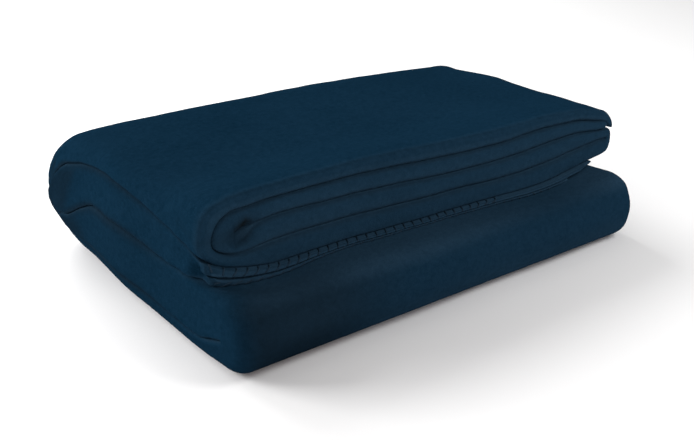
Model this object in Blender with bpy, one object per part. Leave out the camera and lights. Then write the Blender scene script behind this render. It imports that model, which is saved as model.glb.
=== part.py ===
"""Folded fleece blanket: one rectangular sheet of polar fleece, folded in four along its length
and then in four along its width, lying flat on a surface.

Frame: metres, +Z up, origin under the middle of the folded stack. X runs along the folded length,
-Y is the front, where the free edges of the upper quarter show above a plain rounded fold.

The sheet is laid out twice over. Seen from the front, its length makes four PASSES, one above the
other: pass 1 on top, round the left end to pass 4 at the bottom, back to pass 3 and round to pass 2.
That strip of four passes is then folded again along the width, in four QUARTERS: the upper quarter,
down round the back to the lowest quarter, up round the front to the second, and round an inner fold
at the back to the third, whose free edge peeps out below the upper quarter.
"""

import bpy
import numpy as np

# ---- driving dimensions, metres -------------------------------------------------------------
CLOTH = 0.0048            # thickness of the fleece where it lies flat
PLUMP_EDGE = 0.0057       # thickness along the free edge of the upper quarter, where it fluffs up
CUT_EDGE_SHARE = 0.6      # thickness of the cut edge itself, as a share of the cloth beside it
PITCH = 0.0065            # from one layer to the next
GAP = PITCH - CLOTH       # air between two layers
PASSES = 4                # layers of one quarter
QUARTER = PASSES * PITCH  # height of one quarter before it settles

LEFT_FOLD_X = 2 * PITCH   # centre of the folds at the left end
RIGHT_FOLD_X = 0.3765     # centre of the fold between passes 4 and 3, at the right end
SHORT_END_X = 0.3785      # where pass 2 stops
CURL_X = 0.3805           # where pass 1 starts to curl down over the other ends
CURL_RADIUS = 0.0090
CURL_ANGLE = 72.0         # degrees that the end of pass 1 turns down
EDGE_DEPTHS = [0.0, 0.0035, 0.012, 0.026, 0.045, 0.066, 0.088]   # rows of the mesh behind a free edge

FRONT_EDGE_Y = 0.0450     # free edge of the upper quarter, behind the front of the stack
THIRD_EDGE_Y = 0.0405     # free edge of the third quarter
FRONT_FOLD_Y = QUARTER    # centre of the rounded fold at the front
BACK_FOLD_Y = 0.2530      # centre of the two folds at the back

MIDDLE_X = 0.1915         # from the left end to the middle of the stack
MIDDLE_Y = 0.1520         # from its front to the middle

# Heights to which the layers settle along the front edge of the upper quarter, in millimetres.
# fold: top of the rounded front fold; band: top of the third quarter; then the tops of pass 4,
# pass 3, pass 2 and pass 1.
FRONT_LEVELS = [
    # x     fold  band  pass4  pass3  pass2  pass1
    (0,     57.5, 75.0, 83.0,  90.0,  96.0,  109.0),
    (12,    53.0, 68.5, 78.0,  89.5,  100.5, 112.5),
    (30,    49.5, 62.0, 73.5,  92.0,  105.0, 115.5),
    (60,    50.0, 57.5, 76.0,  95.0,  107.5, 117.5),
    (107,   51.5, 58.5, 75.5,  93.0,  107.0, 117.5),
    (160,   51.0, 57.5, 74.0,  91.0,  105.0, 116.0),
    (220,   48.5, 55.5, 72.5,  87.5,  102.0, 114.0),
    (270,   47.5, 54.5, 69.5,  86.5,  101.0, 113.0),
    (311,   47.5, 54.5, 71.0,  89.0,  104.0, 114.5),
    (353,   49.5, 58.0, 74.5,  91.5,  101.5, 112.0),
    (389,   55.0, 64.5, 79.0,  89.0,  95.0,  105.5),
]
# The same levels further back, where the stack lies closer, and over the folds at the back.
# low is the top of the lowest quarter, at the left end and elsewhere.
INNER_HEIGHT = 0.1060
BACK_HEIGHT = 0.1035
LOW_AT_LEFT = 0.0100
FRONT_OPENS_FROM_Y = 0.1250   # from here forward the free edges of the upper quarter fan open

PLUMP = 1.25              # how much rounder the left fold is at the open front edge
PLUMP_LENGTH = 0.030
PLUMP_OUT = 0.0090        # how far that fold stands out to the left
LEFT_SKEW = 0.040         # the left end leans out this much for each metre of depth
LEFT_BULGE = 0.0050       # and its round back corner stands out this much at mid height
UPPER_REACH = 0.0080      # the upper half reaches this much further right than the lower
THIRD_SHORT = 0.0200      # and the third quarter stops this much short of it at the front

FLEECE_COLOUR = (0.0066, 0.0252, 0.0545, 1.0)
FLEECE_ROUGHNESS = 0.95


def ease(start, end, value):
    """0 before start, 1 after end, smooth between them."""
    t = np.clip((value - start) / (end - start), 0.0, 1.0)
    return t * t * (3.0 - 2.0 * t)


def arc(centre, radius, first, last, steps, facing):
    """Stations on a circular fold: place, and the way the cloth's first side faces there."""
    turn = np.radians(np.linspace(first, last, steps + 1))
    direction = np.stack([np.cos(turn), np.sin(turn)], axis=1)
    return np.array(centre) + radius * direction, facing * direction


def run(start, end, level, steps, facing):
    """Stations on a straight stretch at one level, without its two ends."""
    along = np.linspace(start, end, steps + 1)[1:-1]
    place = np.stack([along, np.full_like(along, level)], axis=1)
    direction = np.tile([0.0, facing], (len(along), 1))
    return place, direction


def edge(start, depths, level, towards, facing):
    """Stations close to a free edge, at the given depths inside it."""
    along = start + towards * np.array(depths)
    place = np.stack([along, np.full_like(along, level)], axis=1)
    return place, np.tile([0.0, facing], (len(along), 1))


def joined(pieces):
    return np.concatenate([p[0] for p in pieces]), np.concatenate([p[1] for p in pieces])


def strip_profile():
    """The four passes seen from the front: x, height w above the strip's middle, and the side that
    is uppermost on pass 1."""
    half, whole = 0.5 * PITCH, 1.5 * PITCH
    curl_centre = (CURL_X, whole - CURL_RADIUS)
    left = (LEFT_FOLD_X, 0.0)
    return joined([
        arc(curl_centre, CURL_RADIUS, 90.0 - CURL_ANGLE, 90.0, 4, 1),
        run(CURL_X, LEFT_FOLD_X, whole, 9, 1),
        arc(left, whole, 90.0, 270.0, 8, 1),
        run(LEFT_FOLD_X, RIGHT_FOLD_X, -whole, 6, -1),
        arc((RIGHT_FOLD_X, -PITCH), half, -90.0, 90.0, 5, 1),
        run(RIGHT_FOLD_X, LEFT_FOLD_X, -half, 6, 1),
        arc(left, half, 270.0, 90.0, 5, -1),
        run(LEFT_FOLD_X, SHORT_END_X, half, 6, -1),
        edge(SHORT_END_X, [0.0], half, -1, -1),
    ])


def quarters_path():
    """The middle of the strip seen from the left: y, height z, and the side that pass 1 is on."""
    back = (BACK_FOLD_Y, 2 * QUARTER)
    upper, lowest, second, third = (n * QUARTER for n in (3.5, 0.5, 1.5, 2.5))
    return joined([
        edge(FRONT_EDGE_Y, EDGE_DEPTHS, upper, 1, 1),
        run(FRONT_EDGE_Y + EDGE_DEPTHS[-1], BACK_FOLD_Y, upper, 3, 1),
        arc(back, 1.5 * QUARTER, 90.0, -90.0, 9, 1),
        run(BACK_FOLD_Y, FRONT_FOLD_Y, lowest, 4, -1),
        arc((FRONT_FOLD_Y, QUARTER), 0.5 * QUARTER, -90.0, -270.0, 8, 1),
        run(FRONT_FOLD_Y, BACK_FOLD_Y, second, 5, 1),
        arc(back, 0.5 * QUARTER, -90.0, 90.0, 6, -1),
        run(BACK_FOLD_Y, THIRD_EDGE_Y + EDGE_DEPTHS[-1], third, 3, -1),
        edge(THIRD_EDGE_Y, EDGE_DEPTHS[::-1], third, 1, -1),
    ])


def settled_levels(x, y):
    """Heights of the boundaries between layers at a place: floor, the three between the quarters,
    the three between the passes of the upper quarter, and the top."""
    table = np.array(FRONT_LEVELS)
    front = [np.interp(x, table[:, 0] / 1000.0, column / 1000.0) for column in table[:, 1:].T]
    fold, band, pass4, pass3, pass2, pass1 = front
    back = ease(0.175, BACK_FOLD_Y, y)
    height = INNER_HEIGHT + (BACK_HEIGHT - INNER_HEIGHT) * back
    opened = 1.0 - ease(FRONT_EDGE_Y, FRONT_OPENS_FROM_Y, y)
    left_end = (1.0 - ease(0.010, 0.075, x)) * ease(0.020, 0.060, y) * (1.0 - back)
    low = 0.25 * height + (LOW_AT_LEFT - 0.25 * height) * left_end
    inner = [height * share for share in (0.5, 0.75, 0.8125, 0.875, 0.9375, 1.0)]
    raised = [i + (f - i) * opened for i, f in zip(inner, (fold, band, pass4, pass3, pass2, pass1))]
    return [np.zeros_like(x), low] + raised


def settle(x, y, z):
    """Move points of the evenly stacked cloth to where the layers settle."""
    knots = QUARTER * np.array([0.0, 1.0, 2.0, 3.0, 3.25, 3.5, 3.75, 4.0])
    levels = np.stack(settled_levels(x, y))
    upper = np.clip(np.searchsorted(knots, z, side="right"), 1, len(knots) - 1)
    columns = np.arange(len(z))
    share = (z - knots[upper - 1]) / (knots[upper] - knots[upper - 1])
    height = levels[upper - 1, columns] * (1.0 - share) + levels[upper, columns] * share
    lowest_face = levels[1] * (0.5 * GAP / QUARTER)

    opened = 1.0 - ease(FRONT_EDGE_Y + 0.010, FRONT_OPENS_FROM_Y, y)
    in_upper = ease(2.9 * QUARTER, 3.1 * QUARTER, z) * opened
    from_left = 1.0 - ease(0.0, 0.150, x)
    plumper = x * PLUMP * np.exp(-(x / PLUMP_LENGTH) ** 2) - PLUMP_OUT * from_left
    round_end = np.exp(-((height - 0.6 * BACK_HEIGHT) / 0.035) ** 2) * ease(0.08, 0.28, y)
    lean = (LEFT_SKEW * y + LEFT_BULGE * round_end) * (1.0 - ease(0.0, 0.300, x))

    to_right = ease(0.200, RIGHT_FOLD_X, x)
    upper_half = ease(2.2 * QUARTER, 3.2 * QUARTER, z)
    in_third = ease(1.9 * QUARTER, 2.1 * QUARTER, z) * (1.0 - ease(2.9 * QUARTER, 3.1 * QUARTER, z))
    reach = UPPER_REACH * upper_half - THIRD_SHORT * in_third * (1.0 - ease(0.110, 0.200, y))
    return x + plumper * in_upper - lean + reach * to_right, y, height - lowest_face


def cloth_points():
    """Rings of points round the cloth, one for each station along the width."""
    strip, strip_side = strip_profile()
    path, path_side = quarters_path()
    middle = np.concatenate([strip, strip[::-1]])
    outward = np.concatenate([strip_side, -strip_side[::-1]])
    rings = []
    for (place_y, place_z), (side_y, side_z), thickness in zip(path, path_side, thicknesses(path)):
        x, w = (middle + 0.5 * thickness * outward).T
        rings.append(np.stack([x, place_y + w * side_y, place_z + w * side_z], axis=1))
    x, y, z = settle(*np.concatenate(rings).T)
    points = np.stack([x - MIDDLE_X, y - MIDDLE_Y, z], axis=1)
    return points, len(middle), len(path)


def thicknesses(path):
    """Thickness of the cloth at each station: plump along the front of the upper quarter, and a
    little pinched on the cut edges themselves."""
    y, z = path.T
    plump = (1.0 - ease(FRONT_EDGE_Y, FRONT_OPENS_FROM_Y, y)) * (z > 3.0 * QUARTER)
    thickness = CLOTH + (PLUMP_EDGE - CLOTH) * plump
    thickness[[0, -1]] *= CUT_EDGE_SHARE
    return thickness


def cloth_faces(ring, rows):
    """Quads between neighbouring rings, and a strip of quads across each of the two cut edges."""
    quads = []
    for row in range(rows - 1):
        for i in range(ring):
            j = (i + 1) % ring
            near, far = row * ring, (row + 1) * ring
            quads.append((near + i, far + i, far + j, near + j))
    for i in range(ring // 2 - 1):
        across = (i, i + 1, ring - 2 - i, ring - 1 - i)
        quads.append(across)
        last = (rows - 1) * ring
        quads.append(tuple(last + k for k in reversed(across)))
    return quads


def fleece():
    material = bpy.data.materials.new("fleece")
    material.use_nodes = True
    shader = material.node_tree.nodes["Principled BSDF"]
    shader.inputs["Base Color"].default_value = FLEECE_COLOUR
    shader.inputs["Roughness"].default_value = FLEECE_ROUGHNESS
    shader.inputs["Metallic"].default_value = 0.0
    return material


def blanket():
    points, ring, rows = cloth_points()
    mesh = bpy.data.meshes.new("blanket")
    mesh.from_pydata([tuple(p) for p in points], [], cloth_faces(ring, rows))
    mesh.validate()
    mesh.shade_smooth()
    mesh.materials.append(fleece())
    piece = bpy.data.objects.new("blanket", mesh)
    bpy.context.scene.collection.objects.link(piece)
    return piece


for old in list(bpy.data.objects):
    bpy.data.objects.remove(old)
blanket()
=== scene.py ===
"""Looks of a folded fleece blanket, built round its CAD solid.

Frame: metres, +Z up, origin under the middle of the folded stack. X runs along the folded length,
and -Y is the front, where the free edges of the upper quarter show above a plain rounded fold.

The fleece is one sheet, laid out twice over. Its length makes four passes, one above the other, and
that strip of passes is folded again along the width, in four quarters. The strip is first laid out
evenly, layer on layer, and then settled: its layers sink to the heights, and lean to the sides, that
short tables and soft waves give. Light and shade are painted on the nap: paler colour is painted
light that lifts the shade in creases, gaps and under the hem, and darker colour is painted shade
beside creases, in the hollow and low on the front. Over-edge stitches bind the hem that peeps out
at the front.

In the comments, w is the height above the middle of the strip, before the strip is folded, and a
level is a height in the even stack, counted in quarters above the floor.
"""
import math
from types import SimpleNamespace

import bpy
import numpy as np
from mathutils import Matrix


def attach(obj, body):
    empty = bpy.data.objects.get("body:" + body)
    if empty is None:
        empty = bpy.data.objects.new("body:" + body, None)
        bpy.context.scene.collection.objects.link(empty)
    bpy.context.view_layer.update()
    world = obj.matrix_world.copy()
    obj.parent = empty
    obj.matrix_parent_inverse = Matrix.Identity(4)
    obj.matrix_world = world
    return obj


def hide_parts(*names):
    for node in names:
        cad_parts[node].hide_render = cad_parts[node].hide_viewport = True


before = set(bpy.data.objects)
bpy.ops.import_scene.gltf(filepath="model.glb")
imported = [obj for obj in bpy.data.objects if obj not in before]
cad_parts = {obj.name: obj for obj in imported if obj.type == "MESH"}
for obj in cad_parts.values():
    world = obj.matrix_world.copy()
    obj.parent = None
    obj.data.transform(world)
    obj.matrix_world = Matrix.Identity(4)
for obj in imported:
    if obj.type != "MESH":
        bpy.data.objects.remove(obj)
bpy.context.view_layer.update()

# ---- the sheet, metres ----
PITCH = 0.0065                 # from one layer to the next in the even stack
CLOTH = 0.990 * PITCH          # the napped cloth fills nearly all of it
PASSES = 4                     # layers of one quarter
QUARTER = PASSES * PITCH       # height of one quarter in the even stack
OUTER_PASS = 1.4 * PITCH       # only the outermost passes are further from the strip's middle

# ---- the strip of four passes, seen from the front ----
LEFT_FOLD_X = 2 * PITCH        # centre of the folds at the left end
RIGHT_FOLD_X = 0.3880          # centre of the fold between passes 4 and 3, at the right end
SHORT_END_X = 0.3850           # where pass 2 stops
CURL_X = 0.3765                # where pass 1 starts to curl down over the other ends
CURL_RADIUS = 0.0180
CURL_ANGLE = 62.0              # degrees that the end of pass 1 turns down

# ---- the four quarters, seen from the left ----
FRONT_EDGE_Y = 0.0450          # free edge of the upper quarter, behind the front of the stack
HEM_Y = 0.0405                 # free edge of the third quarter, which is the stitched hem
FRONT_FOLD_Y = QUARTER         # centre of the rounded fold at the front
BACK_FOLD_Y = 0.2530           # centre of the two folds at the back
MIDDLE_X = 0.1915              # from the left end to the middle of the stack
MIDDLE_Y = 0.1520              # from its front to the middle

# ---- how round the free edges are: depth from the edge to the full thickness ----
PLUMP_EDGE_DEPTH = 0.0038
HEM_EDGE_DEPTH = 0.0030
SHORT_EDGE_DEPTH = 0.0030
TIP_DEPTH = 0.0140             # the end of pass 1 tapers
THINNEST_SHARE = 0.10          # thickness left at the very edge
EDGE_SQUARENESS = 3.5          # 2 is a round edge, more is flatter
END_SQUARENESS = 2.2

# ---- heights to which the layers settle ----
# In an even stack, the boundaries between four layers or quarters lie at these shares of the whole.
EVEN_SHARES = (0.25, 0.50, 0.75)
# Heights along the open front, in millimetres. fold: top of the rounded front fold; hem: top of the
# third quarter; then the tops of pass 4, pass 3, pass 2 and pass 1 of the upper quarter.
FRONT_HEIGHTS = [
    # x     fold  hem   pass4  pass3  pass2  pass1
    (0,     59.5, 75.0, 81.0,  87.0,  101.0, 109.5),
    (12,    55.5, 68.0, 76.0,  85.5,  102.5, 112.5),
    (24,    53.0, 64.0, 74.0,  85.0,  103.5, 114.3),
    (34,    51.3, 61.5, 73.5,  89.0,  104.3, 115.2),
    (60,    50.5, 57.5, 75.5,  94.0,  106.5, 116.5),
    (107,   54.0, 58.0, 75.0,  92.0,  106.0, 117.0),
    (160,   54.0, 57.5, 73.5,  90.0,  104.0, 115.5),
    (220,   51.5, 55.5, 71.5,  86.5,  101.0, 113.5),
    (270,   49.5, 54.0, 69.0,  85.5,  100.0, 112.5),
    (311,   48.5, 53.5, 70.0,  87.5,  102.5, 113.5),
    (353,   51.0, 56.5, 73.5,  89.5,  101.5, 111.4),
    (389,   61.6, 62.1, 77.5,  87.0,  95.5,  105.3),
]
FRONT_OPENS_FROM_Y = 0.1250    # from here forward the free edges of the upper quarter fan open
# Heights at the left end, in millimetres: the tops of the lowest, second and third quarters.
LEFT_HEIGHTS = [
    # y     lowest second third
    (45,    14.0,  59.5,  76.0),
    (60,    14.0,  58.5,  80.5),
    (78,    14.0,  57.0,  83.5),
    (100,   14.0,  54.5,  86.0),
    (125,   15.0,  56.0,  90.0),
    (150,   15.0,  59.5,  94.0),
    (175,   14.5,  61.0,  95.0),
    (205,   16.0,  61.5,  91.5),
    (230,   17.5,  52.5,  88.5),
    (253,   17.5,  41.0,  82.8),
    (275,   17.5,  39.0,  79.0),
]
LEFT_HEIGHTS_X = (0.005, 0.085)            # over this stretch they give way to the even shares
LEFT_HEIGHTS_Y = (0.020, 0.060)            # and over this one they set in
LEFT_FRONT_DEPTH = 0.0170      # the open front's heights reach only this far back at the left end
# Heights of the top further back, where the stack lies closer, and over the folds at the back.
TOP_HEIGHTS = [
    # x     inner  back
    (-10,   103.0, 97.0),
    (5,     104.5, 101.0),
    (30,    105.5, 104.5),
    (60,    106.0, 105.5),
    (150,   106.0, 105.5),
    (240,   106.0, 106.6),
    (320,   105.0, 103.2),
    (389,   104.1, 100.0),
]
BACK_HEIGHTS_FROM_Y = 0.1750   # from here back the top goes over from one to the other
HEM_OUTER_EXTRA = 0.20         # the hem's outermost layers take so much more of its height
HEM_OUTER_DEPTH = (0.005, 0.030)           # up to this far behind it
# The boundaries in the even stack whose heights are known, as levels: those between the quarters,
# and those between all layers of the third and the upper quarter.
EVEN_LEVELS = (0.0, 1.0, 2.0, 2.25, 2.5, 2.75, 3.0, 3.25, 3.5, 3.75, 4.0)

# ---- how far the layers shift as they settle ----
# Two places with a size are where it starts to change and where it has changed. Four are where it
# sets in, is complete, starts to fade and is gone. "middle, width" is the shape of a soft hump.
THIRD_QUARTER = (1.9, 2.1, 2.9, 3.1)       # levels
UPPER_QUARTER = (2.9, 3.1)                 # levels
UPPER_HALF = (2.2, 3.2)                    # levels

# The left fold of the upper quarter is rounder at the open front: x in the even stack, x there.
PLUMP_FOLD = [
    (0,   -2.0),
    (6.5,  9.5),
    (12.2, 25.0),
    (26,   36.0),
    (60,   60.0),
    (400,  400.0),
]
PLUMP_FOLD_DEPTH = 0.0280      # it is so from the front edge to this far behind it

LEFT_OUT = 0.0022              # the left end stands out this much
LEFT_SKEW = 0.0265             # and this much more for each metre of depth
LEFT_BULGE = 0.0134            # and this much more towards the back
LEFT_BULGE_Y = (0.080, 0.280)
LEFT_BULGE_HEIGHT = (0.052, 0.041)         # middle, width
BACK_CORNER = 0.0055           # it is rounded off this much at the back
BACK_CORNER_Y = (0.150, 0.250)
TOP_CORNER = 0.0009            # and this much more at the top
TOP_CORNER_HEIGHT = (0.055, 0.095)
LEAN_TO_X = 0.3000             # all that dies away up to here
INNER_BULGE = 0.0042           # the ends of the two inner quarters stand out past it at the back
INNER_BULGE_X = (0.010, 0.150)
INNER_BULGE_Y = (0.258, 0.045)             # middle, width
INNER_BULGE_HEIGHT = (0.047, 0.028)        # middle, width
INNER_QUARTERS = (0.85, 1.15)  # how far they reach from the middle of their fold, in quarters
INNER_FOLD_BACK = 0.0080       # how far back their own fold is pressed
INNER_FOLD_LEVEL = (2.0, 0.8)              # middle, width
INNER_FOLD_Y = (0.200, 0.250, 0.260, 0.300)
LEFT_FLATNESS = 0.0100         # how much the round left end of each quarter is pressed flat
PRESSED_TO_X = 5 * LEFT_FOLD_X
ROUND_FRONT_SHARE = 0.55       # at the open front, the upper quarter is pressed so much less below
ROUND_FRONT_Y = (0.045, 0.062)
ENCLOSED_RUN = 0.0600          # the outer side is pressed once it is this far past the front fold

FRONT_SKEW = 0.0078            # the foot of the front stands out this much for each metre to the right
FRONT_SKEW_TO = (0.8 * QUARTER, 0.0800)    # up to this height in the even stack, and this far back
HOLLOW = 0.0066                # the upper quarter's inner left fold opens this far up and down
HOLLOW_X = (0.030, 0.007)                  # middle, width
HOLLOW_SPREAD = 0.6            # layers above and below over which that dies away
HOLLOW_SPLIT = 0.02            # layers over which it turns from down to up
HOLLOW_FRONT_DEPTH = 0.0100    # it is as wide up to here behind the front edge, then it closes

UPPER_REACH = 0.0112           # the upper half reaches this much further right than the lower
BACK_REACH = 0.0080            # and the back this much further than the front
BACK_REACH_Y = (0.060, 0.250)
REACH_FROM_X = 0.2000          # both grow from here to the right end
NOSE_ROUND = 0.0030            # the upper quarter's right end draws back this much underneath
LOWER_NOSE_ROUND = 0.0097      # and the lower half's this much on top
LOWER_NOSE_LEVELS = (1.2, 2.0)
NOSE_X = (0.300, 0.385)

HEM_SHORT = 0.0310             # the third quarter stops this much short of it at the front
HEM_SHORT_Y = (0.110, 0.200)
HEM_CORNER_IN = 0.0010         # the hem's left corner stands back this much
HEM_CORNER_ROUND = 0.0070      # and this much more underneath
HEM_UNDERSIDE = (2.0, 2.6)                 # levels
HEM_CORNER_TO_X = 0.0600
HEM_CORNER_WIDTH = 0.0160      # along y, as a hump
HEM_DENT = 0.0055              # the depth of the dent just behind that corner
HEM_DENT_X = (0.004, 0.040)
HEM_DENT_Y = (0.053, 0.004)                # middle, width
HEM_DENT_HEIGHT = (0.065, 0.008)           # middle, width
HEM_INNER_BACK = 0.0030        # the hem's two inner layers end this much further back
HEM_INNER_LEVELS = (2.2, 2.4, 2.6, 2.8)
HEM_INNER_WIDTH = 0.0200       # along y, as a hump

# ---- soft unevenness, along x, y and z: how high the waves are, how long, and their seed ----
X_WAVES = [(0.0012, 0.070, 11), (0.0004, 0.022, 12)]
Y_WAVES = [(0.0013, 0.090, 21), (0.0004, 0.025, 22)]
Z_WAVES = [(0.0004, 0.110, 31), (0.0002, 0.035, 32)]
WAVES_FULL_AT = 0.0300         # there are none at the floor, and all of them from this height up

# ---- painted light and painted shade on the nap: how strong, from 0 to 1, and where ----
# Painted light: paler colour that lifts the shade in creases, gaps, under the hem and at the foot.
PALE_EDGE = 0.38               # the upper quarter's free edges
PALE_EDGE_TURN = 0.14          # less on their upper side, more on their underside
PALE_HEM_TIMES = 2.0           # times as strong at the hem
# painted light deep between the layers, where shade falls
PALE_GAP = 0.80                # more between the layers, behind an edge
PALE_GAP_FACING = (0.88, 1.0)
PALE_EDGE_DEPTH = (0.015, 0.030)
PALE_OUTSIDE = 0.25            # the very edge, where the outside of the stack turns into it
PALE_OUTSIDE_DEPTH = (0.001, 0.007)
PALE_CRACK = 0.22              # along the left end, between two quarters
PALE_CRACK_BACK = 0.28         # more towards the back
PALE_CRACK_BACK_Y = (0.170, 0.240)
PALE_CRACK_FRONT = 0.30        # and towards the front
PALE_CRACK_FRONT_Y = (0.045, 0.085)
PALE_CRACK_WIDTH = 0.10
PALE_FRONT = 0.16              # the front, above its foot
PALE_FRONT_HEIGHT = (0.016, 0.036)
# painted light in the shade under the hem's overhang
PALE_SHELF = 0.62              # more near the top of the front fold, under the hem
PALE_SHELF_HEIGHT = (0.043, 0.054)
PALE_FRONT_X = (-0.010, 0.045)
# painted light where the front's foot turns under, away from the lamps
PALE_FOOT = 0.52               # the foot of the front
PALE_FOOT_HEIGHT = (0.004, 0.036)
PALE_FOOT_X = (0.040, 0.160)
PALE_FRONT_TO_Y = (0.045, 0.060)
# Painted shade: darker colour where shade falls, by creases and gaps, in the hollow and low on the front.
DARK_RIM = 0.45                # where the face of a free edge turns into a gap
DARK_RIM_FACING = (0.85, 0.25)             # middle, width
DARK_RIM_DEPTH = 0.0100
DARK_CRACK = 0.50               # beside the cracks along the left end
DARK_CRACK_WIDTH = 0.25
DARK_CRACK_Y = (0.080, 0.160)
DARK_BACK = 0.40               # where the inner quarters turn back, at the left
DARK_BACK_Y = (0.233, 0.241)
DARK_BACK_FROM_CRACK = (0.10, 0.30)
DARK_HEM_CORNER = 0.20
DARK_HEM_CORNER_DEPTH = (0.004, 0.012)
# painted shade in the hollow of the upper quarter's inner left fold
HOLLOW_TINT_X = (0.021, 0.013)             # middle, width: the hollow is darkest of all
HOLLOW_TINT_WIDTH = 0.5 * PITCH
HOLLOW_TINT_DEPTH = 0.0300
HOLLOW_TINT_BELOW = 0.60       # but only so dark on its lower side
HOLLOW_TINT_EASE = 0.3 * PITCH
# a patch of painted shadow low on the front, at the left
DARK_FRONT = 0.58              # a patch low on the front, at the left
DARK_FRONT_X = (-0.006, 0.016, 0.055, 0.150)
DARK_FRONT_TO_Y = (0.024, 0.040)
DARK_FRONT_HEIGHT = (0.050, 0.058)

# ---- the over-edge stitches on the hem ----
STITCH_SPACING = 0.0086
STITCH_STEPS = 14              # straight pieces of thread in each stitch
STITCH_DEPTH = 0.0030          # from the cloth's edge to the middle of a stitch
STITCH_SLANT = 0.0016          # how far each stitch leans along the edge
STITCH_LOOSENESS = 1.04        # how far the thread stands round the edge, times its true half size
THREAD_RADIUS = 0.00070
THREAD_SIDES = 6
STITCH_SIZES = {               # the inputs of the stitches' node tree
    "Spacing": STITCH_SPACING,
    "Depth": STITCH_DEPTH,
    "Slant": STITCH_SLANT,
    "Looseness": STITCH_LOOSENESS,
    "Thread radius": THREAD_RADIUS,
}
STITCHES_FROM_X = 0.7 * LEFT_FOLD_X
LOWER_STITCHES_TO_X = 0.3500   # the lower row shows nearly to the right end
UPPER_STITCHES_TO_X = 0.2700   # the upper row only this far

# ---- colours, linear: the darkest and the lightest of each ----
FLEECE_COLOURS = ((0.0006, 0.0090, 0.0194, 1.0), (0.0062, 0.0252, 0.0495, 1.0))
# painted light: the paler colour that lifts the shade in creases and gaps, under the hem and at the foot
PAINTED_LIGHT_COLOURS = ((0.0100, 0.0280, 0.0500, 1.0), (0.0240, 0.0560, 0.0920, 1.0))
# painted shade: the colour that darkens the fleece where shade falls
PAINTED_SHADE_COLOUR = (0.0050, 0.0074, 0.0094, 1.0)
THREAD_COLOURS = ((0.0026, 0.0115, 0.0230, 1.0), (0.0080, 0.0270, 0.0490, 1.0))
FLOOR_COLOUR = (0.94, 0.94, 0.94, 1.0)

# ---- camera, floor and light ----
CAMERA_PLACE = (-0.4235, -0.5735, 0.3328)
CAMERA_TURN = 36.49            # degrees from the +Y axis towards +X
CAMERA_TILT = 24.02            # degrees down from level
CAMERA_LENS = 46.27            # millimetres
CAMERA_SENSOR = 36.0           # millimetres wide
FLOOR_HALF = 6.0
WHITE = (1.0, 1.0, 1.0)
WORLD_STRENGTH = 0.29
SOFTBOXES = [
    # name          place                 aimed at              size  watts  colour
    ("left_back",   (-1.6, 1.4, 1.0),     (0.0, 0.0, 0.05),     1.2,  57.5,  WHITE),
    ("back",        (0.0, 2.2, 1.4),      (0.0, 0.0, 0.0),      1.8,  60.0,  WHITE),
    ("right_front", (0.45, -0.60, 0.70),  (0.15, -0.10, 0.05),  0.4,  4.2,   WHITE),
    ("front",       (-0.9, -2.1, 0.55),   (0.0, 0.0, 0.05),     1.2,  14.5,  (1.0, 0.86, 0.86)),
]


# ---------------------------------------------------------------- curves and blends

def ease(start, end, value):
    """0 before start, 1 after end, smooth between them."""
    t = np.clip((value - start) / (end - start), 0.0, 1.0)
    return t * t * (3.0 - 2.0 * t)


def fade(start, end, value):
    """1 before start, 0 after end, smooth between them."""
    return 1.0 - ease(start, end, value)


def stretch(start, full, fading, end, value):
    """0 outside start and end, 1 from full to fading, smooth between them."""
    return ease(start, full, value) * fade(fading, end, value)


def hump(middle, width, value):
    """1 in the middle, falling away softly on both sides."""
    return np.exp(-((value - middle) / width) ** 2)


def between(knots, values, at):
    """A smooth curve through values, one row for each knot, that never overshoots them."""
    knots = np.asarray(knots, dtype=float)
    values = np.asarray(values, dtype=float)
    if values.ndim == 1:
        values = values[:, None]
    step = np.diff(knots)[:, None]
    rise = np.diff(values, axis=0) / step
    before, after = rise[:-1], rise[1:]
    near, far = 2.0 * step[1:] + step[:-1], step[1:] + 2.0 * step[:-1]
    turning = before * after <= 0.0
    safe_before, safe_after = np.where(turning, 1.0, before), np.where(turning, 1.0, after)
    inner = np.where(turning, 0.0, (near + far) / (near / safe_before + far / safe_after))
    slope = np.concatenate([rise[:1], inner, rise[-1:]])

    low = np.clip(np.searchsorted(knots, at, side="right") - 1, 0, len(knots) - 2)
    column = np.arange(len(at)) if values.shape[1] > 1 else np.zeros(len(at), dtype=int)
    gap = step[low, 0]
    t = np.clip((at - knots[low]) / gap, 0.0, 1.0)
    start, end = values[low, column], values[low + 1, column]
    bend = t * (1.0 - t) * gap * ((1.0 - t) * slope[low, column] - t * slope[low + 1, column])
    return start + (end - start) * t * t * (3.0 - 2.0 * t) + bend


def from_table(table, at):
    """Each column of a table in millimetres, as a smooth curve over its first column, in metres."""
    knots, *columns = np.array(table).T / 1000.0
    return [between(knots, column, at) for column in columns]


def waves(a, b, kinds, count=5):
    """Soft unevenness over two coordinates, of all the kinds: height, length and seed of each."""
    total = np.zeros_like(a)
    for height, length, seed in kinds:
        draw = np.random.default_rng(seed)
        wave = np.zeros_like(a)
        for _ in range(count):
            turn, phase = draw.uniform(0.0, math.pi), draw.uniform(0.0, 2.0 * math.pi)
            pace = 2.0 * math.pi / (length * draw.uniform(0.7, 1.5))
            wave += np.sin(pace * (a * math.cos(turn) + b * math.sin(turn)) + phase)
        total += height * (wave / math.sqrt(2.0 * count))
    return total


# ---------------------------------------------------------------- the sheet laid out evenly

def spread(start, end, steps, crowd=None):
    """Places from start to end, evenly, or crowded towards a free edge at "start" or "end"."""
    t = np.linspace(0.0, 1.0, steps + 1)
    if crowd == "start":
        t = t ** 2
    if crowd == "end":
        t = 1.0 - (1.0 - t) ** 2
    return start + (end - start) * t


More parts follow.
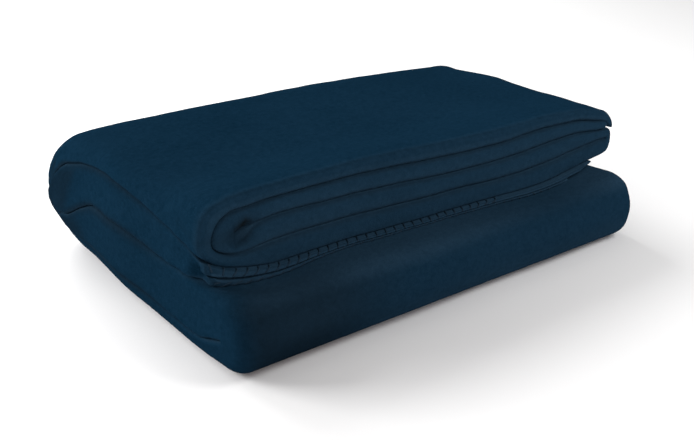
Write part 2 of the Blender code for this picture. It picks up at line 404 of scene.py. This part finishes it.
def fold(centre, radius, first, last, steps, facing, crowd=None):
    """Stations round a fold, from one angle to another: place, and the way the first side faces."""
    turn = np.radians(spread(first, last, steps, crowd))
    direction = np.stack([np.cos(turn), np.sin(turn)], axis=1)
    return np.array(centre) + radius * direction, facing * direction


def flat(start, end, height, steps, facing, crowd=None):
    """Stations on a straight stretch at one height: place, and the way the first side faces."""
    along = spread(start, end, steps, crowd)
    place = np.stack([along, np.full_like(along, height)], axis=1)
    return place, np.tile([0.0, facing], (len(along), 1))


def route(pieces):
    """The pieces joined, without doubled stations: places, facings and the run from the start."""
    place = np.concatenate([p[0] for p in pieces])
    facing = np.concatenate([p[1] for p in pieces])
    steps = np.linalg.norm(np.diff(place, axis=0), axis=1)
    kept = np.concatenate([[True], steps > 1e-6])
    place, facing = place[kept], facing[kept]
    run = np.concatenate([[0.0], np.cumsum(np.linalg.norm(np.diff(place, axis=0), axis=1))])
    return place, facing, run


def strip_route():
    """The four passes seen from the front: place (x, w), and the side that is uppermost on pass 1."""
    half, whole = 0.5 * PITCH, 1.5 * PITCH
    left = (LEFT_FOLD_X, 0.0)
    return route([
        fold((CURL_X, whole - CURL_RADIUS), CURL_RADIUS, 90.0 - CURL_ANGLE, 90.0, 12, 1, "start"),
        flat(CURL_X, LEFT_FOLD_X, whole, 66, 1),
        fold(left, whole, 90.0, 270.0, 22, 1),
        flat(LEFT_FOLD_X, RIGHT_FOLD_X, -whole, 44, -1),
        fold((RIGHT_FOLD_X, -PITCH), half, -90.0, 90.0, 10, 1),
        flat(RIGHT_FOLD_X, LEFT_FOLD_X, -half, 38, 1),
        fold(left, half, 270.0, 90.0, 12, -1),
        flat(LEFT_FOLD_X, SHORT_END_X - SHORT_EDGE_DEPTH, half, 38, -1),
        flat(SHORT_END_X - SHORT_EDGE_DEPTH, SHORT_END_X, half, 5, -1, "end"),
    ])


def quarters_route():
    """The middle of the strip seen from the left: place (y, height), and the side that pass 1 is on."""
    back = (BACK_FOLD_Y, 2 * QUARTER)
    upper, lowest, second, third = (n * QUARTER for n in (3.5, 0.5, 1.5, 2.5))
    plump_y, hem_y = FRONT_EDGE_Y + PLUMP_EDGE_DEPTH, HEM_Y + HEM_EDGE_DEPTH
    return route([
        flat(FRONT_EDGE_Y, plump_y, upper, 9, 1, "start"),
        flat(plump_y, FRONT_OPENS_FROM_Y, upper, 18, 1),
        flat(FRONT_OPENS_FROM_Y, BACK_FOLD_Y, upper, 13, 1),
        fold(back, 1.5 * QUARTER, 90.0, -90.0, 26, 1),
        flat(BACK_FOLD_Y, FRONT_FOLD_Y, lowest, 11, -1),
        fold((FRONT_FOLD_Y, QUARTER), 0.5 * QUARTER, -90.0, -270.0, 26, 1),
        flat(FRONT_FOLD_Y, BACK_FOLD_Y, second, 16, 1),
        fold(back, 0.5 * QUARTER, -90.0, 90.0, 14, -1),
        flat(BACK_FOLD_Y, FRONT_OPENS_FROM_Y, third, 14, -1),
        flat(FRONT_OPENS_FROM_Y, hem_y, third, 24, -1),
        flat(hem_y, HEM_Y, third, 8, -1, "end"),
    ])


def fullness(run, first_depth, last_depth, squareness):
    """Thickness along a route, from nearly nothing at its two free ends to 1 at those depths."""
    from_first = np.clip(run / first_depth, 0.0, 1.0)
    from_last = np.clip((run[-1] - run) / last_depth, 0.0, 1.0)
    swelling = (1.0 - (1.0 - np.minimum(from_first, from_last)) ** 2) ** (1.0 / squareness)
    return THINNEST_SHARE + (1.0 - THINNEST_SHARE) * swelling


# ---------------------------------------------------------------- the sheet settled

def heights_at(x, y):
    """Heights of the boundaries between layers: the floor, the three between quarters with the
    three inside the third quarter, the three between the upper quarter's passes, and the top."""
    fold_top, hem_top, *passes = from_table(FRONT_HEIGHTS, x)
    inner_height, back_height = from_table(TOP_HEIGHTS, x)
    height = inner_height + (back_height - inner_height) * ease(BACK_HEIGHTS_FROM_Y, BACK_FOLD_Y, y)
    left_end = fade(*LEFT_HEIGHTS_X, x) * ease(*LEFT_HEIGHTS_Y, y)
    low, mid_top, third_top = (height * even + (left - height * even) * left_end
                               for even, left in zip(EVEN_SHARES, from_table(LEFT_HEIGHTS, y)))
    opened = fade(FRONT_EDGE_Y, FRONT_OPENS_FROM_Y, y)
    opened_left = fade(FRONT_EDGE_Y, FRONT_EDGE_Y + LEFT_FRONT_DEPTH, y)
    hem_lifts = opened + (opened_left - opened) * left_end
    mid_top = mid_top + (fold_top - mid_top) * hem_lifts
    third_top = third_top + (hem_top - third_top) * hem_lifts
    outer = EVEN_SHARES[0] + HEM_OUTER_EXTRA * fade(*HEM_OUTER_DEPTH, y - HEM_Y)
    third = [mid_top + (third_top - mid_top) * share for share in (outer, 0.5, 1.0 - outer)]
    height = height + (passes[-1] - height) * opened
    front_shares = [(top - hem_top) / (passes[-1] - hem_top) for top in passes[:-1]]
    upper = [third_top + (height - third_top) * (even + (front - even) * opened)
             for even, front in zip(EVEN_SHARES, front_shares)]
    return np.stack([np.zeros_like(x), low, mid_top] + third + [third_top] + upper + [height])


def right_end_shift(x, y, z):
    """How far right the right end moves, from its place in the even stack: the upper half and the
    back reach further, and the ends of pass 4 and of the lower half are rounded."""
    level = z / QUARTER
    upper_half = ease(*UPPER_HALF, level)
    hem_short = HEM_SHORT * stretch(*THIRD_QUARTER, level) * fade(*HEM_SHORT_Y, y)
    reach = UPPER_REACH * upper_half + BACK_REACH * ease(*BACK_REACH_Y, y) - hem_short
    pass_4_top = 3.0 * QUARTER + PITCH
    under = np.clip((pass_4_top - z) / PITCH, 0.0, 1.0) * ease(*UPPER_QUARTER, level)
    nose = LOWER_NOSE_ROUND * ease(*LOWER_NOSE_LEVELS, level) * (1.0 - upper_half)
    nose = nose + NOSE_ROUND * under ** 3
    return reach * ease(REACH_FROM_X, RIGHT_FOLD_X, x) - nose * ease(*NOSE_X, x)


def hem_corner_shift(x, y, z):
    """How far right the hem's left corner moves, from its place in the even stack."""
    level = z / QUARTER
    bottom, top = HEM_UNDERSIDE
    underside = np.clip((top - level) / (top - bottom), 0.0, 1.0) ** 2
    corner = (HEM_CORNER_IN + HEM_CORNER_ROUND * underside) * fade(0.0, HEM_CORNER_TO_X, x)
    return corner * hump(HEM_Y, HEM_CORNER_WIDTH, y) * stretch(*THIRD_QUARTER, level)


def settled_y(x, y, z):
    """The new y of points of the even stack whose new x is known."""
    level = z / QUARTER
    y = y + HEM_INNER_BACK * stretch(*HEM_INNER_LEVELS, level) * hump(HEM_Y, HEM_INNER_WIDTH, y)
    y = y + INNER_FOLD_BACK * hump(*INNER_FOLD_LEVEL, level) * stretch(*INNER_FOLD_Y, y)
    skew_height, skew_depth = FRONT_SKEW_TO
    return y - FRONT_SKEW * x * fade(0.0, skew_height, z) * fade(0.0, skew_depth, y)


def left_end_lean(even, y, height):
    """How far left the left end leans, by its place in the even stack and its new y and height."""
    even_x, even_y, even_z = even
    rounded = (BACK_CORNER + TOP_CORNER * ease(*TOP_CORNER_HEIGHT, height)) * ease(*BACK_CORNER_Y, y)
    bulge = LEFT_BULGE * hump(*LEFT_BULGE_HEIGHT, height) * ease(*LEFT_BULGE_Y, y)
    lean = (LEFT_OUT + LEFT_SKEW * y - rounded + bulge) * fade(0.0, LEAN_TO_X, even_x)
    from_fold = np.hypot(np.maximum(even_y - BACK_FOLD_Y, 0.0), even_z - 2 * QUARTER)
    inner = INNER_BULGE * fade(*INNER_QUARTERS, from_fold / QUARTER) * fade(*INNER_BULGE_X, even_x)
    return lean + inner * hump(*INNER_BULGE_Y, y) * hump(*INNER_BULGE_HEIGHT, height)


def settle(x, y, z):
    """Move points of the even stack to where the layers settle, with the underside on the floor."""
    even = (x, y, z)
    in_upper = ease(*UPPER_QUARTER, z / QUARTER)
    plumped = from_table(PLUMP_FOLD, x)[0]
    round_front = in_upper * fade(FRONT_EDGE_Y, FRONT_EDGE_Y + PLUMP_FOLD_DEPTH, y)
    x = x + (plumped - x) * round_front + hem_corner_shift(*even) + right_end_shift(*even)
    y = settled_y(x, y, z)

    heights = heights_at(x, y)
    height = between(QUARTER * np.array(EVEN_LEVELS), heights, z)
    opened = fade(FRONT_EDGE_Y + HOLLOW_FRONT_DEPTH, FRONT_OPENS_FROM_Y, even[1])
    from_fold = (z - 3.5 * QUARTER) / PITCH
    hollow = HOLLOW * np.tanh(from_fold / HOLLOW_SPLIT) * hump(0.0, HOLLOW_SPREAD, from_fold)
    height = height + hollow * opened * hump(*HOLLOW_X, x)
    lowest_face = heights[1] * 0.5 * (1.0 - CLOTH / PITCH) / PASSES

    x = x - left_end_lean(even, y, height)
    dent = HEM_DENT * stretch(*THIRD_QUARTER, z / QUARTER)
    dent = dent * hump(*HEM_DENT_Y, y) * hump(*HEM_DENT_HEIGHT, height)
    return x + dent * fade(*HEM_DENT_X, x), y, height - lowest_face


def uneven(x, y, z):
    """The small unevenness of soft cloth, the same for all layers at a place, none at the floor."""
    lifted = ease(0.0, WAVES_FULL_AT, z)
    return (x + waves(y, z, X_WAVES) * lifted,
            y + waves(x, z, Y_WAVES) * lifted,
            z + waves(x, y, Z_WAVES) * lifted)


def laid(x, y, z):
    """From the even stack to the finished place, centred on the stack's middle."""
    x, y, z = uneven(*settle(x, y, z))
    return np.stack([x - MIDDLE_X, y - MIDDLE_Y, z], axis=-1)


def loop_at(station, side, share, enclosed):
    """The strip's outline at one station of the quarters' route, in the even stack: its points, the
    w of each, and how much each is pressed flat at the left end."""
    strip, strip_side, strip_run = strip_route()
    along = fullness(strip_run, TIP_DEPTH, SHORT_EDGE_DEPTH, END_SQUARENESS)[:, None]
    reach = 0.5 * CLOTH * share * along * strip_side
    x, w = np.concatenate([strip + reach, (strip - reach)[::-1]]).T
    round_front = ease(*UPPER_QUARTER, station[1] / QUARTER) * fade(*ROUND_FRONT_Y, station[0])
    pressed = np.where(w < 0.0, 1.0 - ROUND_FRONT_SHARE * round_front, enclosed)
    pressed = pressed * fade(LEFT_FOLD_X, PRESSED_TO_X, x)
    x = x - LEFT_FLATNESS * pressed * (w / (0.5 * QUARTER)) ** 2
    return np.stack([x, station[0] + w * side[0], station[1] + w * side[1]], axis=1), w, pressed


def even_sheet():
    """The cloth in the even stack, a loop of points round the strip for each station of the
    quarters' route, and at each point what its tints go by."""
    path, path_side, path_run = quarters_route()
    across = fullness(path_run, PLUMP_EDGE_DEPTH, HEM_EDGE_DEPTH, EDGE_SQUARENESS)
    enclosures = ease(0.0, ENCLOSED_RUN, path_run - path_run[np.argmin(path[:, 0])])
    loops = [loop_at(*row) for row in zip(path, path_side, across, enclosures)]
    even, w, pressed = (np.array(column) for column in zip(*loops))

    strip_w = strip_route()[0][:, 1]
    strip_w = np.concatenate([strip_w, strip_w[::-1]])
    first_side = np.arange(len(strip_w)) < len(strip_w) // 2
    x = even[:, :, 0]
    level = path[:, 1:] / QUARTER
    in_upper = level > 3.0
    upper_side = ease(-HOLLOW_TINT_EASE, HOLLOW_TINT_EASE, strip_w)
    in_hollow = hump(*HOLLOW_TINT_X, x) * hump(0.0, HOLLOW_TINT_WIDTH, w)
    return SimpleNamespace(
        even=even,
        pressed=pressed,
        y=path[:, :1],
        level=level,
        in_upper=in_upper,
        depth=np.minimum(path_run, path_run[-1] - path_run)[:, None],
        outside=first_side & ((in_upper & (w > OUTER_PASS)) | (x < LEFT_FOLD_X)),
        facing_up=(w - strip_w) * path_side[:, 1:] / (0.5 * CLOTH),
        from_crack=1.0 - abs(w) / (0.5 * QUARTER),
        in_hollow=in_hollow * (HOLLOW_TINT_BELOW + (1.0 - HOLLOW_TINT_BELOW) * upper_side))


def painted_light(cloth, from_left, from_front, height):
    """How much painted light lifts the shade on the nap: on the free edges, in the cracks along the left
    end, on the front under the hem and along its foot."""
    edge = (PALE_EDGE - PALE_EDGE_TURN * cloth.facing_up) * np.where(cloth.in_upper, 1.0, PALE_HEM_TIMES)
    edge = edge + PALE_GAP * ease(*PALE_GAP_FACING, abs(cloth.facing_up))
    edge = np.clip(edge, 0.0, 1.0) * fade(*PALE_EDGE_DEPTH, cloth.depth)
    edge = np.where(cloth.outside, PALE_OUTSIDE * fade(*PALE_OUTSIDE_DEPTH, cloth.depth), edge)
    crack = PALE_CRACK + PALE_CRACK_BACK * ease(*PALE_CRACK_BACK_Y, cloth.y)
    crack = crack + PALE_CRACK_FRONT * fade(*PALE_CRACK_FRONT_Y, cloth.y)
    crack = crack * hump(0.0, PALE_CRACK_WIDTH, cloth.from_crack) * cloth.pressed
    front = PALE_FRONT * ease(*PALE_FRONT_HEIGHT, height) + PALE_SHELF * ease(*PALE_SHELF_HEIGHT, height)
    front = front * ease(*PALE_FRONT_X, from_left)
    foot = PALE_FOOT * fade(*PALE_FOOT_HEIGHT, height) * ease(*PALE_FOOT_X, from_left)
    front = (front + foot) * fade(*PALE_FRONT_TO_Y, from_front) * (cloth.level < 2.0)
    return np.maximum.reduce([edge * (1.0 - cloth.in_hollow), crack, front])


def painted_shade(cloth, from_left, from_front, height):
    """How much painted shade darkens the nap: at the rims of the free edges, beside the cracks along the
    left end, where the inner quarters turn back, at the hem's corner, in the hollow and low on the front."""
    rim = DARK_RIM * hump(*DARK_RIM_FACING, abs(cloth.facing_up))
    rim = rim * (cloth.depth < DARK_RIM_DEPTH) * ~cloth.outside
    crack = DARK_CRACK * hump(0.0, DARK_CRACK_WIDTH, cloth.from_crack) * ease(*DARK_CRACK_Y, cloth.y)
    back = DARK_BACK * ease(*DARK_BACK_Y, cloth.y) * ease(*DARK_BACK_FROM_CRACK, cloth.from_crack)
    back = back * (abs(cloth.level - 2.0) < 1.0)
    corner = DARK_HEM_CORNER * fade(*DARK_HEM_CORNER_DEPTH, cloth.depth) * cloth.outside * ~cloth.in_upper
    hollow = cloth.in_hollow * cloth.in_upper * (cloth.depth < HOLLOW_TINT_DEPTH)
    front = DARK_FRONT * fade(*DARK_FRONT_HEIGHT, height) * stretch(*DARK_FRONT_X, from_left)
    front = front * fade(*DARK_FRONT_TO_Y, from_front)
    return np.maximum.reduce([rim, crack * cloth.pressed, back * cloth.pressed, corner, hollow, front])


def sheet_faces(ring, rows):
    """Four-sided faces between the rings, and narrow ones that close the two long free edges."""
    faces = []
    for row in range(rows - 1):
        near, far = row * ring, (row + 1) * ring
        for i in range(ring):
            j = (i + 1) % ring
            faces.append((near + i, far + i, far + j, near + j))
    last = (rows - 1) * ring
    for i in range(ring // 2 - 1):
        across = (i, i + 1, ring - 2 - i, ring - 1 - i)
        faces.append(across)
        faces.append(tuple(last + k for k in reversed(across)))
    return faces


def new_object(name, points, faces, edges=()):
    """A mesh object at the origin, with its place in its points."""
    mesh = bpy.data.meshes.new(name)
    mesh.from_pydata([tuple(p) for p in points], list(edges), faces)
    mesh.update()
    piece = bpy.data.objects.new(name, mesh)
    bpy.context.collection.objects.link(piece)
    return piece


def fleece_sheet():
    """The folded sheet as one closed mesh, with its painted light and painted shade as attributes."""
    cloth = even_sheet()
    rows, ring, _ = cloth.even.shape
    points = laid(*cloth.even.reshape(-1, 3).T)
    piece = new_object("fleece_sheet", points, sheet_faces(ring, rows))
    from_left, from_front, height = (points + (MIDDLE_X, MIDDLE_Y, 0.0)).T.reshape(3, rows, ring)
    # painted light and painted shade, stored as point attributes
    tints = {"painted_light": painted_light(cloth, from_left, from_front, height),
             "painted_shade": painted_shade(cloth, from_left, from_front, height)}
    for name, tint in tints.items():
        piece.data.attributes.new(name, "FLOAT", "POINT").data.foreach_set("value", tint.ravel())
    piece.data.shade_smooth()
    return piece


def hem_edge():
    """Lines of points inside the hem's two outermost passes, a stitch's depth behind the free edge,
    each with half the layer's thickness as a vector, "across"."""
    loop, _, _ = loop_at((HEM_Y + STITCH_DEPTH, 2.5 * QUARTER), (0.0, -1.0), 1.0, 1.0)
    half = len(loop) // 2
    outer, inner = laid(*loop[:half].T), laid(*loop[half:][::-1].T)
    place, w = strip_route()[0].T
    kept = (np.arange(half) < np.argmin(w)) | (w < -OUTER_PASS)
    kept &= place > STITCHES_FROM_X
    kept &= place < np.where(w > 0.0, LOWER_STITCHES_TO_X, UPPER_STITCHES_TO_X)
    line, across = 0.5 * (outer + inner)[kept], 0.5 * (outer - inner)[kept]
    number = np.flatnonzero(kept)
    edges = [(i, i + 1) for i in range(len(line) - 1) if number[i + 1] == number[i] + 1]
    piece = new_object("hem_stitches", line, [], edges)
    half_thickness = piece.data.attributes.new("across", "FLOAT_VECTOR", "POINT")
    half_thickness.data.foreach_set("vector", across.ravel())
    return piece


# ---------------------------------------------------------------- node trees

# The colour sockets of a Mix node go by number, because its other sockets have the same names.
COLOUR_A = 6
COLOUR_B = 7
COLOUR_RESULT = 2


class Value:
    """A socket of a node tree. Arithmetic on it adds the Math nodes, and make() adds any other."""

    def __init__(self, tree, socket=None):
        self.tree = tree
        self.socket = socket

    def make(self, kind, settings=None, inputs=None, output=0):
        """Add a node: its settings first, then the values or links of its sockets."""
        node = self.tree.nodes.new(kind)
        for name, value in (settings or {}).items():
            setattr(node, name, value)
        for name, value in (inputs or {}).items():
            if isinstance(value, Value):
                self.tree.links.new(value.socket, node.inputs[name])
            else:
                node.inputs[name].default_value = value
        return Value(self.tree, node.outputs[output] if node.outputs else None)

    def math(self, operation, *numbers):
        return self.make("ShaderNodeMath", {"operation": operation}, dict(enumerate(numbers)))

    def __add__(self, other):
        return self.math("ADD", self, other)

    def __sub__(self, other):
        return self.math("SUBTRACT", self, other)

    def __rsub__(self, other):
        return self.math("SUBTRACT", other, self)

    def __mul__(self, other):
        return self.math("MULTIPLY", self, other)

    def __truediv__(self, other):
        return self.math("DIVIDE", self, other)

    def __rtruediv__(self, other):
        return self.math("DIVIDE", other, self)

    __radd__ = __add__
    __rmul__ = __mul__


def added(vector, other):
    return vector.make("ShaderNodeVectorMath", {"operation": "ADD"}, {0: vector, 1: other})


def scaled(vector, factor):
    return vector.make("ShaderNodeVectorMath", {"operation": "SCALE"}, {0: vector, "Scale": factor})


def noise(place, scale, detail, roughness=0.5):
    return place.make("ShaderNodeTexNoise", {}, {
        "Vector": place, "Scale": scale, "Detail": detail, "Roughness": roughness})


def mixed(factor, first, second):
    """A colour from first, where the factor is 0, to second, where it is 1."""
    return factor.make("ShaderNodeMix", {"data_type": "RGBA"}, {
        "Factor": factor, COLOUR_A: first, COLOUR_B: second}, output=COLOUR_RESULT)


def attribute(start, name):
    """A number that is stored at each point of the piece."""
    return start.make("ShaderNodeAttribute", {"attribute_name": name}, output="Fac")


def stitch_tree(thread):
    """Wind a thread round the edges that lines of points follow."""
    tree = bpy.data.node_groups.new("over_edge_stitches", "GeometryNodeTree")
    tree.interface.new_socket("Edge", in_out="INPUT", socket_type="NodeSocketGeometry")
    for name in STITCH_SIZES:
        tree.interface.new_socket(name, in_out="INPUT", socket_type="NodeSocketFloat")
    tree.interface.new_socket("Stitches", in_out="OUTPUT", socket_type="NodeSocketGeometry")
    start = Value(tree)
    sockets = [start.make("NodeGroupInput", output=i) for i in range(1 + len(STITCH_SIZES))]
    edge, spacing, depth, slant, looseness, radius = sockets

    line = start.make("GeometryNodeMeshToCurve", {}, {"Mesh": edge})
    step = spacing * (1.0 / STITCH_STEPS)
    line = start.make("GeometryNodeResampleCurve", {"mode": "LENGTH"}, {"Curve": line, "Length": step})
    run = start.make("GeometryNodeSplineParameter", output="Length")
    turn = run / spacing * (2.0 * math.pi)
    across = start.make("GeometryNodeInputNamedAttribute", {"data_type": "FLOAT_VECTOR"},
                        {"Name": "across"})
    forward = start.make("ShaderNodeCombineXYZ", {}, {"Y": start.math("COSINE", turn) * depth * -1.0})
    lean = scaled(start.make("GeometryNodeInputTangent"), slant)
    sideways = scaled(added(across, lean), start.math("SINE", turn))
    offset = scaled(added(forward, sideways), looseness)
    line = start.make("GeometryNodeSetPosition", {}, {"Geometry": line, "Offset": offset})
    section = start.make("GeometryNodeCurvePrimitiveCircle", {}, {
        "Resolution": THREAD_SIDES, "Radius": radius})
    stitches = start.make("GeometryNodeCurveToMesh", {}, {
        "Curve": line, "Profile Curve": section, "Fill Caps": True})
    stitches = start.make("GeometryNodeRealizeInstances", {}, {"Geometry": stitches})
    stitches = start.make("GeometryNodeSetMaterial", {}, {"Geometry": stitches, "Material": thread})
    start.make("NodeGroupOutput", {}, {"Stitches": stitches})
    return tree


def hem_stitches(thread):
    """The over-edge stitches as one plain mesh."""
    piece = hem_edge()
    modifier = piece.modifiers.new("stitches", "NODES")
    modifier.node_group = stitch_tree(thread)
    for item in modifier.node_group.interface.items_tree:
        if item.name in STITCH_SIZES:
            modifier[item.identifier] = STITCH_SIZES[item.name]
    evaluated = piece.evaluated_get(bpy.context.evaluated_depsgraph_get())
    stitches = bpy.data.meshes.new_from_object(evaluated)
    piece.modifiers.remove(modifier)
    piece.data = stitches
    stitches.shade_smooth()
    return piece


def new_material(name):
    """A material with an empty node tree, and the Value from which its nodes are made."""
    material = bpy.data.materials.new(name)
    material.use_nodes = True
    material.node_tree.nodes.clear()
    return material, Value(material.node_tree)


def thread_material():
    """Spun polyester thread, a little lighter than the fleece and smoother."""
    material, start = new_material("thread")
    place = start.make("ShaderNodeTexCoord", output="Object")
    fibres = noise(place, 900.0, 2.0, 0.6)
    colour = mixed(fibres, *THREAD_COLOURS)
    normal = start.make("ShaderNodeBump", {}, {"Strength": 0.4, "Distance": 0.0003, "Height": fibres})
    surface = start.make("ShaderNodeBsdfPrincipled", {}, {
        "Base Color": colour, "Roughness": 0.75, "Normal": normal, "Specular IOR Level": 0.15})
    start.make("ShaderNodeOutputMaterial", {}, {"Surface": surface})
    return material


def fleece_material():
    """Napped polyester fleece: matt, with short clumped fibres, and painted light and shade from its
    attributes.
    """
    material, start = new_material("fleece")
    place = start.make("ShaderNodeTexCoord", output="Object")
    patches = noise(place, 9.0, 3.0)
    clumps = noise(place, 260.0, 3.0, 0.6)
    fibres = noise(place, 1100.0, 2.0, 0.7)

    shade = 0.5 + 1.8 * (0.20 * patches + 0.40 * clumps + 0.40 * fibres - 0.5)
    # the colour is darkened by the painted shade, then lifted by the painted light
    colour = mixed(attribute(start, "painted_shade"), mixed(shade, *FLEECE_COLOURS), PAINTED_SHADE_COLOUR)
    colour = mixed(attribute(start, "painted_light"), colour, mixed(shade, *PAINTED_LIGHT_COLOURS))
    height = 0.7 * clumps + 0.3 * fibres
    normal = start.make("ShaderNodeBump", {}, {"Strength": 0.55, "Distance": 0.0010, "Height": height})
    roughness = 0.88 + 0.12 * fibres
    surface = start.make("ShaderNodeBsdfPrincipled", {}, {
        "Base Color": colour, "Roughness": roughness, "Normal": normal, "Specular IOR Level": 0.0,
        "Sheen Weight": 0.003, "Sheen Roughness": 0.5, "Sheen Tint": (0.40, 0.45, 0.50, 1.0)})
    start.make("ShaderNodeOutputMaterial", {}, {"Surface": surface})
    return material


# ---------------------------------------------------------------- surroundings

def floor():
    half = FLOOR_HALF
    points = [(-half, -half, 0.0), (half, -half, 0.0), (half, half, 0.0), (-half, half, 0.0)]
    piece = new_object("floor", points, [(0, 1, 2, 3)])
    material = bpy.data.materials.new("pale_floor")
    material.use_nodes = True
    shader = material.node_tree.nodes["Principled BSDF"]
    shader.inputs["Base Color"].default_value = FLOOR_COLOUR
    shader.inputs["Roughness"].default_value = 0.7
    piece.data.materials.append(material)


def softbox(name, place, aim, size, watts, colour):
    """A square soft light, turned to face what it is aimed at."""
    data = bpy.data.lights.new(name, "AREA")
    data.shape = "SQUARE"
    data.size = size
    data.energy = watts
    data.color = colour
    lamp = bpy.data.objects.new(name, data)
    lamp.location = place
    facing = np.array(aim) - np.array(place)
    tilt = math.atan2(math.hypot(facing[0], facing[1]), -facing[2])
    turn = math.atan2(facing[1], facing[0]) - math.pi / 2
    lamp.rotation_euler = (tilt, 0.0, turn)
    bpy.context.collection.objects.link(lamp)


def lights():
    for box in SOFTBOXES:
        softbox(*box)
    world = bpy.data.worlds.new("studio")
    world.use_nodes = True
    background = world.node_tree.nodes["Background"]
    background.inputs["Color"].default_value = (*WHITE, 1.0)
    background.inputs["Strength"].default_value = WORLD_STRENGTH
    bpy.context.scene.world = world
    bpy.context.scene.view_settings.view_transform = "Standard"


def camera():
    data = bpy.data.cameras.new("camera")
    data.lens = CAMERA_LENS
    data.sensor_width = CAMERA_SENSOR
    piece = bpy.data.objects.new("camera", data)
    piece.location = CAMERA_PLACE
    piece.rotation_euler = (math.radians(90.0 - CAMERA_TILT), 0.0, math.radians(-CAMERA_TURN))
    bpy.context.collection.objects.link(piece)
    bpy.context.scene.camera = piece


# ---------------------------------------------------------------- the scene

sheet = fleece_sheet()
sheet.data.materials.append(fleece_material())
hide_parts("blanket")
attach(sheet, "root")
stitches = hem_stitches(thread_material())
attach(stitches, "root")

floor()
lights()
camera()
